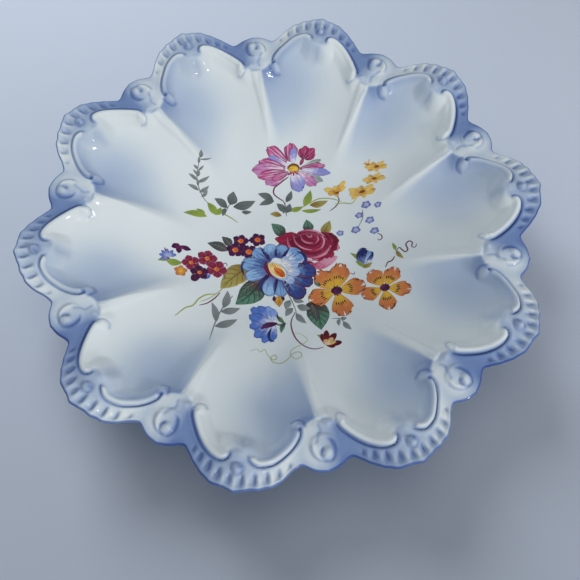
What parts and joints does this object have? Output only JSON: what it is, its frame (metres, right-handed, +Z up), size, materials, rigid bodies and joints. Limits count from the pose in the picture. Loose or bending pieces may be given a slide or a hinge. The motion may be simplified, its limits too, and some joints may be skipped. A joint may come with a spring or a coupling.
{
  "type": "porcelain serving bowl",
  "caption": "Shallow round serving bowl with a lobed, shell-moulded rim, airbrushed blue tint, a foot ring and a printed flower spray in the well.",
  "frame": {"origin": "on the standing surface, under the centre of the foot ring", "axes": "+Z up along the bowl's axis; +Y through the middle of one rim shell, so a shell lies on +Y and the opposite one on -Y"},
  "size_m": [0.2676, 0.28, 0.0526],
  "materials": {
    "glazed_porcelain": "clear high-gloss glaze over white porcelain with an airbrushed cornflower blue tint on the lobes",
    "foot_porcelain": "glazed sides with a dry, ground standing edge",
    "enamel_blue": "glossy fired on-glaze enamel, cornflower to navy blue",
    "enamel_pink": "glossy fired on-glaze enamel, rose pink with pale blue shading",
    "enamel_crimson": "glossy fired on-glaze enamel, crimson to dark maroon",
    "enamel_orange": "glossy fired on-glaze enamel, orange with yellow bases",
    "enamel_yellow": "glossy fired on-glaze enamel, warm yellow",
    "enamel_green": "glossy fired on-glaze enamel, yellow green to dark green",
    "enamel_grey": "glossy fired on-glaze enamel, blue grey"
  },
  "bodies": {
    "root": {"bowl_body": "glazed_porcelain", "foot_ring": "foot_porcelain", "print_main_bouquet": "enamel_blue", "print_pink_cosmos": "enamel_pink", "print_orange_flower_large": "enamel_orange", "print_orange_flower_small": "enamel_orange", "print_maroon_cluster": "enamel_crimson", "print_blue_daisy": "enamel_blue", "print_fern_sprig": "enamel_grey", "print_leaves_left": "enamel_grey", "print_leaves_middle": "enamel_green", "print_yellow_daisies": "enamel_yellow", "print_yellow_daisy_bud": "enamel_yellow", "print_small_blue_flowers": "enamel_blue", "print_blue_rosebud": "enamel_blue", "print_tendril_right": "enamel_crimson", "print_grey_sprig": "enamel_grey", "print_yellow_tendril": "enamel_green", "print_morning_glory": "enamel_blue", "print_dark_leaf": "enamel_green", "print_red_bud": "enamel_crimson", "print_green_tendril": "enamel_green"}
  },
  "joints": []
}
